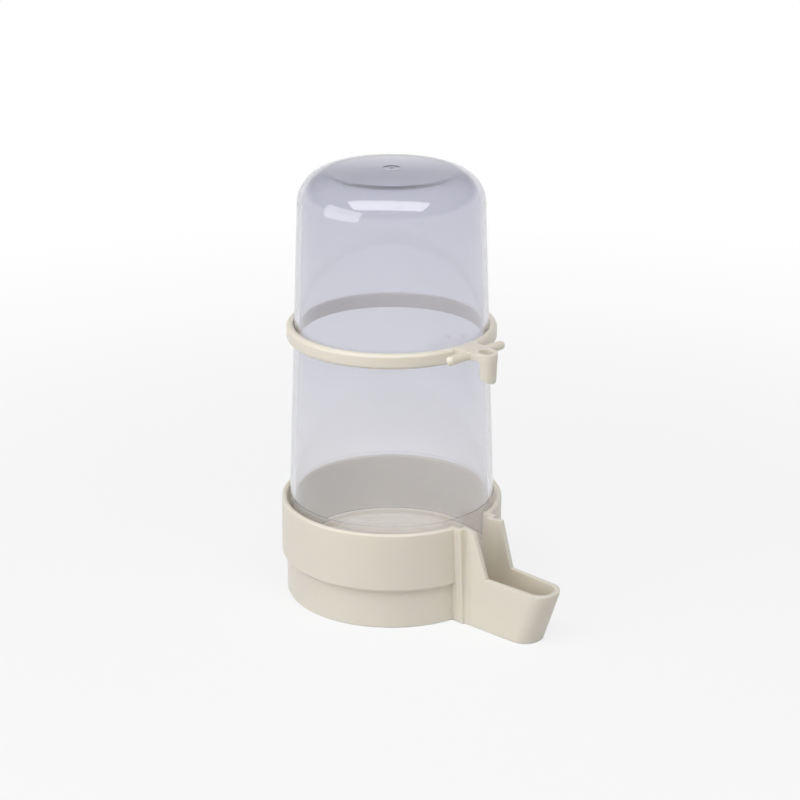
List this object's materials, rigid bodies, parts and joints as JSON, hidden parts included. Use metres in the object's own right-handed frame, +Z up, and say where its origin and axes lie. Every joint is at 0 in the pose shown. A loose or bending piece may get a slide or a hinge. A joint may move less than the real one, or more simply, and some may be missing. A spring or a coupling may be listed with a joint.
{
  "type": "bird water fountain",
  "caption": "Hanging cage drinker: a clear tapered reservoir stands mouth down in an ivory base cup with a drinking trough; a ring with a wire hook grips the reservoir.",
  "frame": {"origin": "middle of the outline's box, on the plane that the foot stands on", "axes": "+Z up along the reservoir's axis, +X from the cup towards the tip of the drinking trough, +Y across the trough"},
  "size_m": [0.0952, 0.065, 0.1281],
  "materials": {
    "ivory_plastic": "moulded ivory plastic with a soft satin gloss",
    "clear_plastic": "clear moulded plastic, polished, faintly grey"
  },
  "bodies": {
    "base": {"base_cup": "ivory_plastic"},
    "bottle": {"reservoir": "clear_plastic"},
    "ring": {"hanger_ring": "ivory_plastic"}
  },
  "joints": [
    {"name": "reservoir_lift", "type": "slide", "parent": "base", "child": "bottle", "axis": [0, 0, 1], "range_m": [0, 0.02]},
    {"name": "ring_slide", "type": "slide", "parent": "bottle", "child": "ring", "axis": [0, 0, 1], "range_m": [0, 0.05]}
  ]
}
